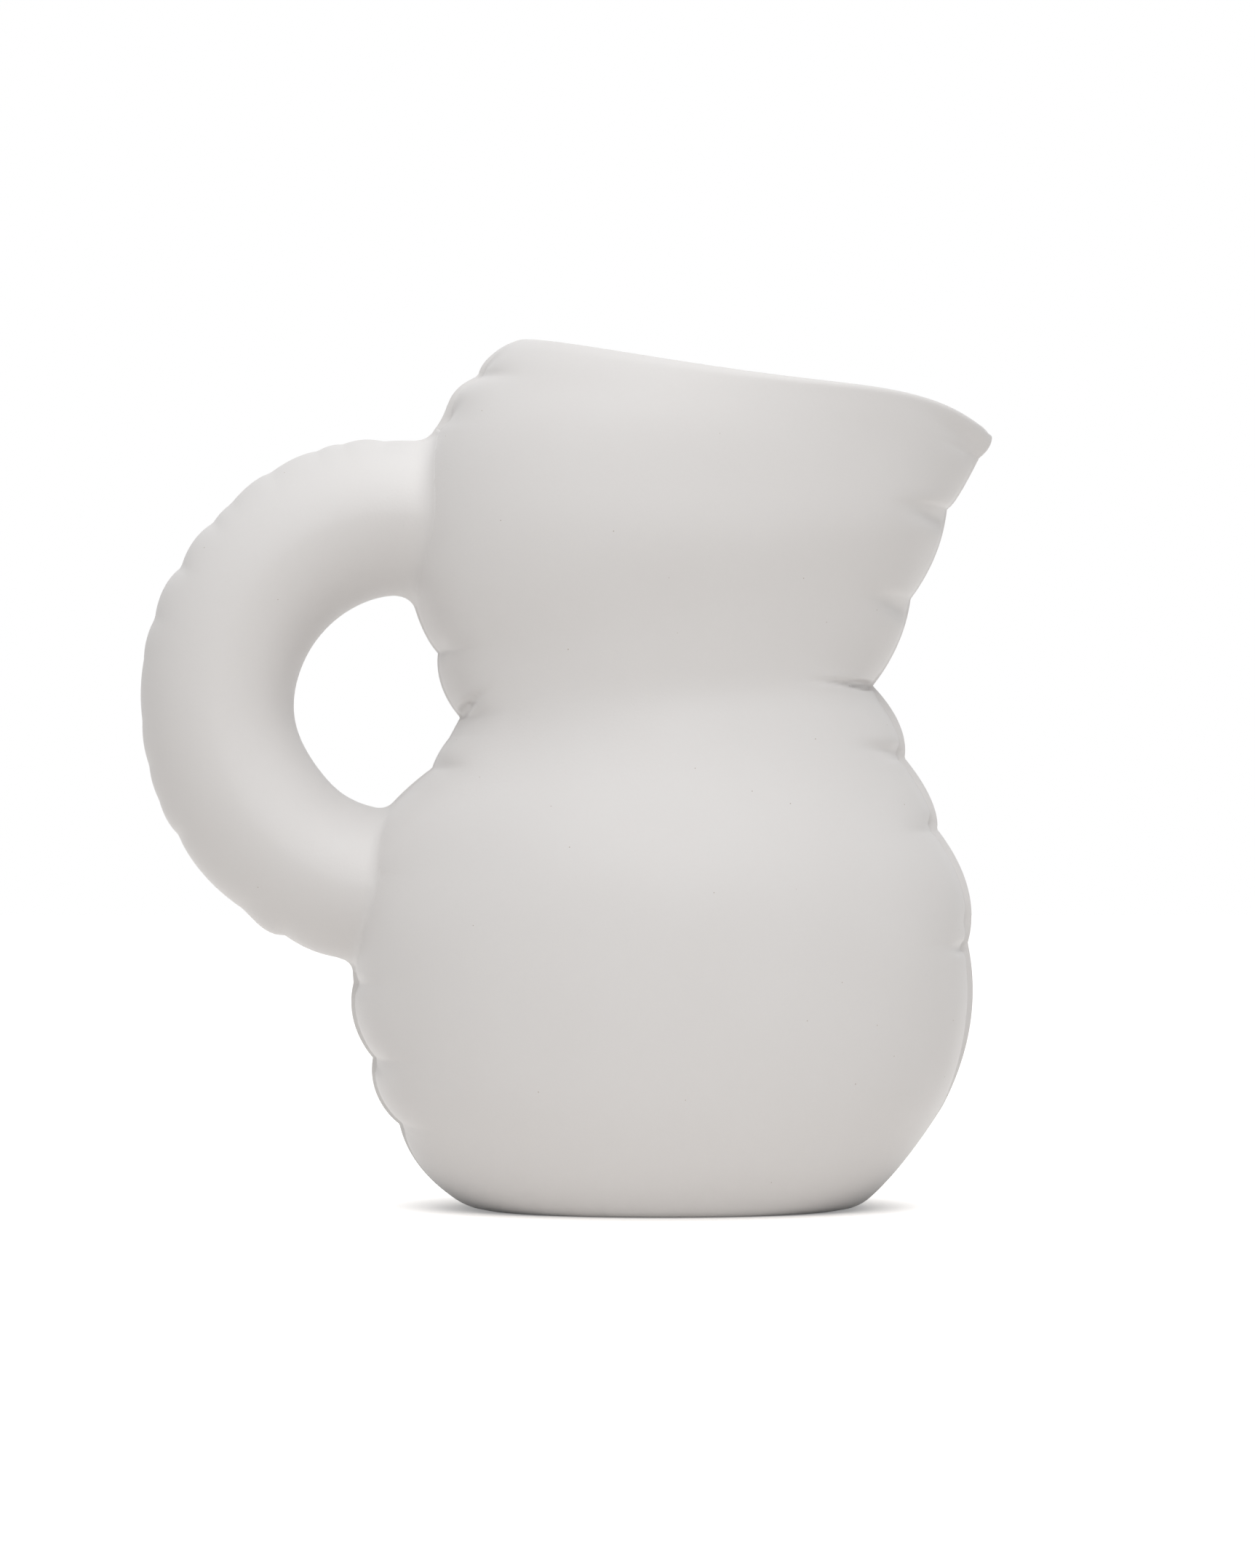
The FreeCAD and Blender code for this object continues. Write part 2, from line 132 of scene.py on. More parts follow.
# %% A smooth curve through points
def smooth_curve(marks, values):
    """A cubic curve with no bend at its ends, which takes and gives arrays."""
    marks, values = np.array(marks, float), np.array(values, float)
    gaps, last = np.diff(marks), len(marks) - 1
    weights, slopes = np.eye(last + 1), np.zeros(last + 1)
    for i in range(1, last):
        weights[i, i - 1:i + 2] = gaps[i - 1], 2 * (gaps[i - 1] + gaps[i]), gaps[i]
        rise_after, rise_before = values[i + 1] - values[i], values[i] - values[i - 1]
        slopes[i] = 6 * (rise_after / gaps[i] - rise_before / gaps[i - 1])
    bends = np.linalg.solve(weights, slopes)

    def curve(at):
        span = np.clip(np.searchsorted(marks, at) - 1, 0, last - 1)
        past, gap = at - marks[span], gaps[span]
        low, high = bends[span], bends[span + 1]
        slope = (values[span + 1] - values[span]) / gap - gap * (2 * low + high) / 6
        return values[span] + past * slope + past**2 * low / 2 + past**3 * (high - low) / (6 * gap)
    return curve


def reach_curve(reaches, heights, shares):
    """How far out the wall stands at a height."""
    marks, values = [], []
    for span, between in enumerate(shares):
        for up, out in ((0, 0),) + between:
            marks.append(heights[span] + (heights[span + 1] - heights[span]) * up)
            values.append(reaches[span] + (reaches[span + 1] - reaches[span]) * out)
    return smooth_curve(marks + [heights[-1]], values + [reaches[-1]])


left_reach = reach_curve(LEFT_OUT, LEFT_UP, LEFT_SHARES)
right_reach = reach_curve(RIGHT_OUT, RIGHT_UP, RIGHT_SHARES)
depth_reach = reach_curve(HALF_DEPTH, MIDDLE_UP, DEPTH_SHARES)
print("widest, mm:", round(float(left_reach(LEFT_UP[1]) + right_reach(RIGHT_UP[1])), 1))

# %% [markdown]
# The seam is puckered, as the edge of a blown pillow is. Between two valleys the edge swells in a flat
# arch, so the outline looks scalloped. Each scallop is written as it is seen in the photograph: where
# it starts, how far it swells over the straight line to the next valley, and which way it leans. Noise
# along the edge would look puckered too, but not like this jug.

# %% Scallops of the seam
# Height, reach, swell of the scallop that starts there, all in millimetres, and its lean: 1 is even.
LEFT_SEAM = (
    (0, 51.6, 4.9, 0.8), (23.2, 72.2, 3.0, 0.87), (41.4, 79.5, 2.7, 0.95), (62, 84.8, 1.2, 1),
    (92, 82.8, 5.0, 1), (121, 63.2, 0.5, 1), (129.3, 58.5, 0, 1), (134.9, 55.5, 2.15, 0.95),
    (152.6, 61.6, 2.0, 0.8), (176, 70, 3.0, 1.1), (214, 62.6, 2.9, 2.0), (228.8, 50.5, 2.1, 1),
    (238.4, 41, 0, 1),
)
RIGHT_SEAM = (
    (0, 51.6, 3.4, 0.58), (28.2, 77.2, 4.1, 1), (73, 84.0, 4.1, 0.97), (104.3, 75.5, 2.1, 0.85),
    (123.8, 66.6, 2.7, 0.95), (143.6, 57.9, 1.95, 0.95), (167.5, 68.3, 2.0, 0.95),
    (192.3, 78.3, 0.95, 0.5), (206.3, 87.2, 1.2, 0.9), (213, 90.7, 0, 1),
)
VALLEY_REACH = 9


def close_to(distance, reach):
    """One where the distance is zero, and next to nothing beyond twice the reach."""
    return np.exp(-((distance / reach) ** 2))


def scalloped(at, edge):
    """How far out a puckered edge stands."""
    marks, reaches, swells, leans = np.array(edge, float).T
    span = np.clip(np.searchsorted(marks, at, side="right") - 1, 0, len(marks) - 2)
    way = np.clip((at - marks[span]) / (marks[span + 1] - marks[span]), 0, 1)
    leant = way ** leans[span]
    straight = reaches[span] + (reaches[span + 1] - reaches[span]) * way
    return straight + 4 * swells[span] * leant * (1 - leant)


print("scallops, left and right:", len(LEFT_SEAM) - 1, len(RIGHT_SEAM) - 1)

# %% [markdown]
# A cross-section of the body is a fuller ellipse, which is pinched to an edge towards the pouring lip.
# There the rim arches up a little, and its last few millimetres lean in and catch the light. Every point
# of the body is found by its place up the stations and its angle round from the left seam to the right
# one. The same formula, drawn in by the wall, gives the inside.

# %% Points of the body
WALL = 4.5
FOOT_WALL = 7
FOOT_POWER = 1.5
SECTION_POWER = 0.92
LIP_POWER = 1.6
LIP_ARCH = 4.6
LIP_ARCH_POWER = 3.6
RIM_LEAN = 2.2
RIM_LEAN_REACH = 9

rise_curves = {tuple(heights): smooth_curve(range(len(heights)), heights) for heights in (
    LEFT_UP, RIGHT_UP, MIDDLE_UP)}


def height_at(heights, place):
    """Height on one side at a place up the stations, with no jerk as it passes a station."""
    return rise_curves[tuple(heights)](place)


def body_points(place, angle, inset):
    """Points of the front half: place runs up the stations, angle from the left seam to the right."""
    left_height, right_height = height_at(LEFT_UP, place), height_at(RIGHT_UP, place)
    left_out, right_out = left_reach(left_height), right_reach(right_height)
    left, right = inset - left_out, right_out - inset
    depth = depth_reach(height_at(MIDDLE_UP, place)) - inset
    half_width = (right - left) / 2
    from_left, from_right = half_width * (1 - np.cos(angle)), half_width * (1 + np.cos(angle))
    pull = (
        (left_out - scalloped(left_height, LEFT_SEAM)) * close_to(from_left, VALLEY_REACH)
        + (right_out - scalloped(right_height, RIGHT_SEAM)) * close_to(from_right, VALLEY_REACH)
    )
    drawn_in = 1 - pull / half_width
    across = (1 - np.cos(angle)) / 2
    rim_way = np.maximum(0, place - RIM_PLACE + 1)
    power = SECTION_POWER + (LIP_POWER - SECTION_POWER) * rim_way**2 * across
    arch = LIP_ARCH * np.sin(np.pi * across**LIP_ARCH_POWER) * rim_way**2
    below_rim = (RIM_PLACE - place) * RIM_SPAN
    lean = RIM_LEAN * across**3 * np.maximum(0, 1 - below_rim / RIM_LEAN_REACH) ** 2
    return np.stack([
        (left + right) / 2 - half_width * np.cos(angle) * drawn_in,
        lean * np.sin(angle) - depth * np.sin(angle) ** power * drawn_in,
        left_height + (right_height - left_height) * across + arch,
    ], axis=-1)


def wall_at(place):
    """The wall is thicker at the foot, where the body curls under."""
    return WALL + (FOOT_WALL - WALL) * np.maximum(0, 1 - place) ** FOOT_POWER


print("lip's tip, mm:", body_points(np.array(float(RIM_PLACE)), np.array(math.pi), 0).round(1).tolist())

# %% [markdown]
# The skin needs its points where the form is finest: close together beside the seam, for the hem, and
# evenly up the body, for the puckers. A plain subdivided cage would round the valleys away, so the rows
# and columns are laid out first, and the skin is one closed grid: up the outside, over the rounded rim
# and down the inside.

# %% Rows and columns of the skin
ROW_STEP = 0.62
INSIDE_ROW_STEP = 3
# How far from the seam each column near it lies on a section of typical depth.
SEAM_STEPS = (0, 0.3, 0.6, 0.9, 1.2, 1.35, 1.5, 1.65, 1.8, 1.95, 2.2, 2.5, 2.9, 3.5, 4.4, 5.6, 7.2, 9.2,
              11.8, 17.2)
TYPICAL_DEPTH = 55
FACE_STEPS = 42
MEASURED_PLACES = 2000


def rows_between(low, high, step):
    """Places from low to high, about a step apart in height."""
    places = np.linspace(low, high, MEASURED_PLACES)
    heights = height_at(MIDDLE_UP, places)
    count = int((heights[-1] - heights[0]) / step)
    return np.interp(np.linspace(heights[0], heights[-1], count), heights, places)


near_seam = np.arcsin((np.array(SEAM_STEPS) / TYPICAL_DEPTH) ** (1 / SECTION_POWER))
face = np.linspace(near_seam[-1], math.pi - near_seam[-1], FACE_STEPS + 1)[1:-1]
HALF_ANGLES = np.concatenate([near_seam, face, math.pi - near_seam[::-1]])


def ring_of(half):
    """Front points and their mirror images as one ring: left seam, front, right seam, back."""
    back = half[:, -2:0:-1] * (1, -1, 1)
    return np.concatenate([half, back], axis=1)


print("columns round the body:", 2 * len(HALF_ANGLES) - 2)

# %% [markdown]
# Where the two sheets meet, the potter leaves a hem: a flange some two millimetres wide, with a soft
# gutter beside it. It shows most on the right of the bulb and low on the left. A strip of its own could
# be laid along the seam, but its edges would show where the real hem melts into the sheet. So the skin is
# drawn in beside the seam, and the seam itself stays where it was.

# %% Hem
HEM_HALF_THICKNESS = 0.9
HEM_SHOULDER = 2.4
HEM_FADE = 18
# Height on that side and the hem's width there, in millimetres.
LEFT_HEM = ((0, 0), (14, 0.5), (22, 1.0), (62, 1.3), (74, 0.8), (150, 0.5), (200, 0.8), (212, 1.8),
            (226, 1.8), (234, 1.0), (239, 0))
RIGHT_HEM = ((0, 0), (30, 0.5), (42, 1.2), (52, 1.7), (66, 1.7), (84, 2.0), (140, 1.8), (148, 0.5),
             (204, 0.4), (212, 0))


def drawn_in_beside(points, place):
    """The hem's gutter: the skin drawn in beside each seam, square to the seam's line."""
    way = np.clip((-points[..., 1] - HEM_HALF_THICKNESS) / HEM_SHOULDER, 0, 1)
    share = way**2 * (3 - 2 * way) * close_to(points[..., 1], HEM_FADE)
    moved = points.copy()
    middle = points.shape[1] // 2
    for heights, reach, hem, columns, inwards in (
        (LEFT_UP, left_reach, LEFT_HEM, slice(0, middle), 1),
        (RIGHT_UP, right_reach, RIGHT_HEM, slice(middle, None), -1),
    ):
        height = height_at(heights, place)
        slope = (reach(height + 1) - reach(height - 1)) / 2
        push = np.interp(height, *np.array(hem, float).T) / np.sqrt(1 + slope**2)
        moved[:, columns, 0] += inwards * push * share[:, columns]
        moved[:, columns, 2] += push * slope * share[:, columns]
    return moved


print("widest hem, left and right, mm:", [max(width for up, width in hem) for hem in (LEFT_HEM, RIGHT_HEM)])

# %% [markdown]
# From each deep valley a crease runs a little way into the skin. The two at the neck are the deepest:
# there the upper half sits on the lower one. They could be sculpted by hand, but a written crease can be
# checked against the photograph and put right by one number. Each is written as it is seen: where it
# starts, how far it runs in, how much it climbs, how wide and how deep it is.

# %% Creases
CREASE_START = 1.5
CREASE_SIDE_SHARE = 0.12
CREASE_CLIMB_END = 1.5
# The clay that a crease pushes up on both sides, as a share of its depth, and how much wider that lies.
BANK, BANK_WIDTH = 0.35, 2.4
# Side, height at the seam, run inwards, climb over the run, half width and depth, in millimetres.
CREASES = (
    ("right", 207.6, 15, 7.0, 3.2, 1.8), ("right", 188.2, 11, 3.0, 2.8, 2.2),
    ("right", 163.4, 11, 4.0, 2.8, 2.2), ("right", 143.2, 15, 1.2, 0.85, 2.1),
    ("right", 124.8, 11, 1.8, 2.0, 1.8), ("right", 105.3, 3.4, 0.6, 2.2, 2.2),
    ("right", 79.0, 3.6, 0.3, 2.6, 1.0), ("right", 71.6, 5.5, 0, 1.5, 1.7),
    ("right", 28.0, 3, 0, 1.0, 0.3),
    ("left", 134.6, 9, 6.0, 1.0, 3.0), ("left", 125.0, 14, 1.0, 7.5, -1.8),
    ("left", 122.8, 10, -3.4, 2.0, 0.9), ("left", 152.4, 5, 3, 1.8, 0.7),
    ("left", 61.5, 3.6, 0.5, 2.2, 1.1), ("left", 40.0, 3, -1, 2.0, 1.1),
    ("left", 22.0, 4, -2, 1.8, 0.7), ("left", 228.0, 3.2, 6, 2.4, 1.3),
    ("left", 215.4, 3.4, 4, 3.0, 1.6),
)


def outward_normals(points):
    """Unit normals of a closed ring grid, from its neighbours."""
    up = np.gradient(points, axis=0)
    round_ring = np.roll(points, -1, axis=1) - np.roll(points, 1, axis=1)
    normals = np.cross(round_ring, up)
    return normals / np.maximum(np.linalg.norm(normals, axis=-1, keepdims=True), TINY)


def creased(points):
    """The skin with its creases pressed in."""
    left_edge, right_edge = points[:, :1, 0], points[:, len(HALF_ANGLES) - 1:len(HALF_ANGLES), 0]
    depth = np.zeros(points.shape[:2])
    for side, start, run, climb, half_width, deep in CREASES:
        inwards = points[..., 0] - left_edge if side == "left" else right_edge - points[..., 0]
        along = np.sqrt(inwards**2 + (CREASE_SIDE_SHARE * points[..., 1]) ** 2)
        middle = start + climb * np.minimum(along / run, CREASE_CLIMB_END)
        off = (points[..., 2] - middle) / half_width
        fade = np.exp(-((along / run) ** 3)) * (1 - close_to(along, CREASE_START))
        depth += deep * fade * (close_to(off, 1) - BANK * close_to(off, BANK_WIDTH))
    return points - outward_normals(points) * depth[..., None]


print("creases:", len(CREASES))

# %% [markdown]
# Hand-built clay is never quite fair. A slow unevenness, a few tenths of a millimetre deep, breaks up
# the long highlights. Noise would do as well, but a few sine waves give the same skin every time. The
# seam, the foot and the rim are left out, so that the outline stays as it was measured.

# %% Slow unevenness
UNEVEN_DEPTH = 0.28
UNEVEN_FROM_SEAM = 12
UNEVEN_FROM_ENDS = 0.15
# Waves per metre along x, y and z, and a starting angle.
UNEVEN_WAVES = (
    (14, 9, 21, 0.4), (-19, 12, 11, 2.1), (8, -23, 17, 4.0), (27, 16, -9, 5.2), (5, 11, 31, 1.3),
)


def uneven(points, place):
    """The skin pressed in a little here and there."""
    total = sum(
        np.sin(2 * np.pi * MM * (points @ np.array(wave[:3], float)) + wave[3]) for wave in UNEVEN_WAVES
    )
    from_seam = 1 - close_to(points[..., 1], UNEVEN_FROM_SEAM)
    from_foot = 1 - close_to(place, UNEVEN_FROM_ENDS)
    from_rim = 1 - close_to(place - RIM_PLACE, UNEVEN_FROM_ENDS)
    depth = UNEVEN_DEPTH * (total / len(UNEVEN_WAVES) - 1) * from_seam * from_foot * from_rim
    return points + outward_normals(points) * depth[..., None]


print("deepest unevenness, mm:", 2 * UNEVEN_DEPTH)

# %% [markdown]
# The lip ends in a rounded tip, as a wet sponge leaves it. Seen from the front its outline is a corner
# between two lines. Points near the corner are drawn back to a circle that touches both lines. A bevel
# would do that on a solid's edge, but here the tip is only a place in a grid of points.

# %% Rounded lip
LIP_TIP = (90.9, 213.4)
LIP_TOP_NORMAL = (0.515, 0.857)
LIP_SIDE_NORMAL = (0.857, -0.515)
LIP_ROUND = 1.8


def rounded_lip(points):
    """The lip's tip rounded, as seen from the front."""
    moved = points.copy()
    top, side = np.array(LIP_TOP_NORMAL), np.array(LIP_SIDE_NORMAL)
    from_tip = points[..., [0, 2]] - LIP_TIP
    inwards = np.stack([LIP_ROUND + from_tip @ top, LIP_ROUND + from_tip @ side], axis=-1)
    near = (inwards > 0).all(axis=-1)
    share = inwards.max(axis=-1) / np.maximum(np.linalg.norm(inwards, axis=-1), TINY)
    back = np.where(near, share - 1, 0)[..., None] * inwards
    moved[..., [0, 2]] += back[..., :1] * top + back[..., 1:] * side
    return moved


print("lip rounded, mm:", LIP_ROUND)

# %% [markdown]
# Now the body itself. The outside ends in a rounded rim and a rounded foot. All rows are stacked into
# one grid that is closed both ways, like the skin of a ring, so there is no open edge anywhere. The two
# helpers in the next cell turn such a grid into an object, for this piece and for the others.

# %% From a grid to a piece
def grid_faces(rows, columns, close_rows):
    """Quads of a grid whose columns close on themselves, and its rows too if asked."""
    row, column = np.indices((rows if close_rows else rows - 1, columns))
    next_row, next_column = (row + 1) % rows, (column + 1) % columns
    corners = (row * columns + column, row * columns + next_column,
               next_row * columns + next_column, next_row * columns + column)
    return np.stack(corners, axis=-1).reshape(-1, 4)


def make_piece(name, points, faces):
    """A smooth-shaded mesh object, from points in millimetres."""
    mesh = bpy.data.meshes.new(name)
    mesh.from_pydata((points.reshape(-1, 3) * MM).tolist(), [], [tuple(face) for face in faces])
    mesh.polygons.foreach_set("use_smooth", [True] * len(mesh.polygons))
    mesh.update()
    piece = bpy.data.objects.new(name, mesh)
    bpy.context.scene.collection.objects.link(piece)
    print(name, "has", len(mesh.vertices), "points")
    return piece


# %% Body
RIM_ROUND = 1.5
FOOT_ROUND = 2.6
ROUND_STEPS = 6


def outside_rows(places, insets):
    """Rows of the outside, with hem, creases and unevenness."""
    half = drawn_in_beside(body_points(places, HALF_ANGLES[None, :], insets), places)
    return rounded_lip(uneven(creased(ring_of(half)), places))


outer_places = rows_between(0, RIM_PLACE - RIM_ROUND / RIM_SPAN, ROW_STEP)[:, None]
turns = np.linspace(0, math.pi / 2, ROUND_STEPS + 1)[1:]
rim_places = outer_places[-1, 0] + (RIM_PLACE - outer_places[-1, 0]) * np.sin(turns)[:, None]
rim_insets = RIM_ROUND * (1 - np.cos(turns))[:, None]
all_places = np.concatenate([outer_places, rim_places])
all_insets = np.concatenate([np.zeros_like(outer_places), rim_insets])
outer_rows = outside_rows(all_places, all_insets)
rim_inside = rounded_lip(ring_of(
    body_points(rim_places[::-1], HALF_ANGLES[None, :], WALL - rim_insets[::-1])))
inside_places = rows_between(0, outer_places[-1, 0], INSIDE_ROW_STEP)[::-1, None]
inside_rows = ring_of(body_points(inside_places, HALF_ANGLES[None, :], wall_at(inside_places)))

body_rows = np.concatenate([outer_rows, rim_inside, inside_rows])
foot_lift = np.clip(1 - body_rows[:, :, 2] / FOOT_ROUND, 0, 1)
foot_lift[len(outer_rows):] = 0
towards_middle = body_rows[..., :2] / np.linalg.norm(body_rows[..., :2], axis=-1, keepdims=True)
body_rows[..., :2] -= towards_middle * (FOOT_ROUND * (1 - np.sqrt(1 - foot_lift**2)))[..., None]
jug_body = make_piece(
    "jug_body", body_rows, grid_faces(body_rows.shape[0], body_rows.shape[1], close_rows=True))
body_skin = BVHTree.FromPolygons(
    outer_rows.reshape(-1, 3).tolist(), grid_faces(*outer_rows.shape[:2], close_rows=False).tolist())

# %% [markdown]
# The handle is a puffed tube too, on an arc that opens out towards its lower end. From front to back it
# grows a little deeper towards both ends. Its outer and inner edges are given by how far they stand from
# the middle of the curl, at a few angles. A bevelled curve would be quicker, but it couldn't carry the
# small puckers along the outer edge.

# %% Handle's tube
CURL_ACROSS = -73
CURL_HEIGHT = 141.2
HANDLE_HALF_DEPTH = 21.5
# The half depth grows by the flare from the far side of the arc to this many degrees away from it.
HANDLE_FLARE = 2.5
FAR_SIDE, FLARED_SIDE = 180, 115
HANDLE_POWER = 1.14
HANDLE_VALLEY_REACH = 4
# Angle from +X and distance from the middle of the curl, in degrees and millimetres.
OUTER_EDGE = ((60, 70.8), (105, 70.8), (130, 70.2), (152, 70.2), (176, 70.4), (202, 71.5), (222, 72.5),
              (250, 74.2), (270, 75.0), (300, 75.4))
INNER_EDGE = ((50, 27.1), (96, 27.1), (117, 26.6), (147, 26.6), (171, 27.5), (195, 28.8), (210, 29.1),
              (225, 29.7), (243, 31.1), (255, 31.5), (310, 32.0))
# The same for the outer edge's valleys, then each scallop's swell and lean.
OUTER_SEAM = (
    (60, 70.5, 0.1, 1), (93, 69.7, 0.7, 1), (102, 70.3, 0.5, 1), (108, 70.3, 0.6, 0.8),
    (120, 70.0, 0.7, 0.7), (131, 69.4, 0.3, 1), (137, 69.0, 1.1, 0.9), (149.5, 68.7, 1.2, 0.85),
    (162.5, 69.6, 0.5, 1), (172, 70.1, 0.15, 1), (186, 70.2, 0.35, 1), (196, 70.7, 0.3, 1),
    (204, 71.4, 0.6, 1.1), (213, 71.2, 0.75, 0.75), (234, 72.5, 1.3, 1.6), (245, 73.0, 0.5, 1.1),
    (257, 74.1, 0.3, 1), (270, 75.0, 0.2, 1), (300, 75.4, 0, 1),
)
outer_edge = smooth_curve(*zip(*OUTER_EDGE))
inner_edge = smooth_curve(*zip(*INNER_EDGE))


def tube_points(angle, around):
    """Points of the tube: angle runs along the arc in degrees, around goes from the outer edge forwards."""
    outer, inner = outer_edge(angle), inner_edge(angle)
    half_width = (outer - inner) / 2
    sideways, forwards = (
        np.sign(turn) * np.abs(turn) ** HANDLE_POWER for turn in (np.cos(around), np.sin(around))
    )
    from_outer = half_width * (1 - sideways)
    pull = (outer - scalloped(angle, OUTER_SEAM)) * close_to(from_outer, HANDLE_VALLEY_REACH)
    radius = (outer + inner) / 2 + half_width * sideways - pull
    half_depth = HANDLE_HALF_DEPTH + HANDLE_FLARE * (np.abs(angle - FAR_SIDE) / FLARED_SIDE) ** 3
    turn = np.radians(angle)
    return np.stack([
        CURL_ACROSS + radius * np.cos(turn),
        -half_depth * forwards,
        CURL_HEIGHT + radius * np.sin(turn),
    ], axis=-1)


print("tube at the far side, mm:", round(float(outer_edge(FAR_SIDE) - inner_edge(FAR_SIDE)), 1))

# %% [markdown]
# The handle is stuck on with slip, and the joint is wiped to a small hollow. For each line along the
# tube, the place where it meets the body's skin is found with a ray. The line then leaves the tube a
# little before that place and lies down on the skin in a curve. A boolean union would leave a hard
# corner there, and a remesh would blur the puckers.

# %% Handle's joints
HANDLE_COLUMNS = 96
HANDLE_ROWS = 170
AROUND = np.linspace(0, 2 * math.pi, HANDLE_COLUMNS, endpoint=False)
SEARCH_STEP = 0.5
NUDGE = 0.01
# How far each joint's fillet reaches along the tube and on the body, in millimetres.
TOP_FILLET, BOTTOM_FILLET = (5, 4), (3.2, 2.8)
FILLET_STEPS = 8
SINK = 0.35


def meeting_point(around, towards):
    """Where a line along the tube first meets the body: the angle, the point and the skin's normal."""
    angles = np.arange(FAR_SIDE, towards, math.copysign(SEARCH_STEP, towards - FAR_SIDE))
    line = tube_points(angles, around)
    for angle, start, end in zip(angles, line, line[1:]):
        step = Vector(end - start)
        point, normal, face, distance = body_skin.ray_cast(Vector(start), step, step.length)
        if point:
            return angle + (angles[1] - angles[0]) * distance / step.length, point, normal
    raise RuntimeError("the handle doesn't reach the body")


def fillet(around, towards, along_tube, on_body):
    """Points of one line's fillet, from the tube to just under the body's skin, and its last angle."""
    seam_angle, point, normal = meeting_point(around, towards)
    back = math.copysign(1, FAR_SIDE - towards)
    radius = (Vector(tube_points(seam_angle, around)) - Vector((CURL_ACROSS, 0, CURL_HEIGHT))).length
    leave = seam_angle + back * math.degrees(along_tube / radius)
    start = Vector(tube_points(leave, around))
    along, beside = tube_points(leave + back, around) - start, tube_points(leave, around + NUDGE) - start
    outwards = Vector(along).cross(Vector(beside)).normalized()
    centre = Vector(tube_points(leave, 0) + tube_points(leave, math.pi)) / 2
    if outwards.dot(start - centre) < 0:
        outwards.negate()
    if normal.dot(start - point) < 0:
        normal = -normal
    down = (outwards - normal * outwards.dot(normal)).normalized()
    landing, landing_normal, face, distance = body_skin.find_nearest(point + down * on_body)
    if landing_normal.dot(normal) < 0:
        landing_normal = -landing_normal
    shares = np.linspace(0, 1, FILLET_STEPS + 1)[1:, None]
    curve = (1 - shares) ** 2 * start + 2 * shares * (1 - shares) * point + shares**2 * landing
    curve = np.array(curve)
    sunk = np.array(landing + down * SINK - landing_normal * SINK)
    return leave, np.vstack([curve, sunk])


def ends_of(towards, sizes):
    """For every line along the tube: the angle where it ends, and its fillet."""
    found = [fillet(around, towards, *sizes) for around in AROUND]
    return np.array([angle for angle, curve in found]), np.array([curve for angle, curve in found])


top_angles, top_curves = ends_of(0, TOP_FILLET)
bottom_angles, bottom_curves = ends_of(360, BOTTOM_FILLET)
way = np.linspace(0, 1, HANDLE_ROWS)[:, None]
tube_rows = tube_points(top_angles + (bottom_angles - top_angles) * way, AROUND[None, :])
handle_rows = np.concatenate([
    top_curves.transpose(1, 0, 2)[::-1], tube_rows, bottom_curves.transpose(1, 0, 2),
])
print("joints, degrees:", [round(float(angle)) for angle in (
    top_angles.min(), top_angles.max(), bottom_angles.min(), bottom_angles.max())])

# %% [markdown]
# A hollow handle needs a way out for its air, or it bursts in the kiln. The potter pricks one small hole
# in the back, where nobody looks. A few squares of the grid are taken out there, and rings of points lead
# from the gap to a round edge and down into the wall. It costs less than a boolean and stays tidy.

# %% Vent hole
VENT_PLACE = (-107.3, 105.7)
VENT_RADIUS = 1.25
VENT_EDGE = 0.35
VENT_DEPTH = 3.2
# Radius of each ring round the hole, and how far it lies under the skin.
VENT_RINGS = (
    (VENT_RADIUS + VENT_EDGE, VENT_EDGE / 7), (VENT_RADIUS + VENT_EDGE / 4, VENT_EDGE / 3),
    (VENT_RADIUS, VENT_EDGE), (VENT_RADIUS, VENT_DEPTH),
)
GAP_SQUARES = 4


def pricked(rows):
    """The handle's points and faces with a small round hole in the back."""
    columns, points = rows.shape[1], rows.reshape(-1, 3)
    away = np.linalg.norm(points[:, [0, 2]] - VENT_PLACE, axis=1)
    away[points[:, 1] < 0] = np.inf
    row, column = np.array(divmod(int(away.argmin()), columns)) - GAP_SQUARES // 2
    square = np.arange(GAP_SQUARES + 1)
    block = (row + square)[:, None] * columns + column + square
    edge = np.concatenate([block[0, :-1], block[:-1, -1], block[-1, :0:-1], block[:0:-1, 0]])
    faces = grid_faces(rows.shape[0], columns, close_rows=False)
    faces = faces[~np.isin(faces, block).all(axis=1)]
    flat = points[edge][:, [0, 2]] - VENT_PLACE
    flat /= np.linalg.norm(flat, axis=1, keepdims=True)
    skin = points[block[GAP_SQUARES // 2, GAP_SQUARES // 2], 1]
    rings, last = [], edge
    for radius, sunk in VENT_RINGS:
        around = VENT_PLACE + flat * radius
        rings.append(np.stack([around[:, 0], np.full(len(edge), skin - sunk), around[:, 1]], axis=1))
        this = len(points) + len(edge) * (len(rings) - 1) + np.arange(len(edge))
        squares = np.stack([last, np.roll(last, -1), np.roll(this, -1), this], axis=1)
        faces = np.concatenate([faces, squares])
        last = this
    points = np.concatenate([points] + rings)
    used = np.unique(faces)
    new_place = np.zeros(len(points), int)
    new_place[used] = np.arange(len(used))
    return points[used], [*new_place[faces].tolist(), new_place[last].tolist()]


handle = make_piece("handle", *pricked(handle_rows))

# %% [markdown]
# The inside is glazed, floor and walls, up to just below the rim. The glaze is a piece of its own, because
# it shines and the clay doesn't. A Solidify modifier could give one skin its thickness. Here both faces are
# written with the body's own formula, so the gap to the wall stays even where the foot curls under.

# %% Glaze
GLAZE_GAP = 0.1
GLAZE_THICKNESS = 0.4
GLAZE_BELOW_RIM = 3
FLOOR_HEIGHT = 6.1
FLOOR_RINGS = 10
# The smallest ring's size, as a share of the floor.
FLOOR_MIDDLE = 0.002
FIRST_SPAN_PLACES = 400


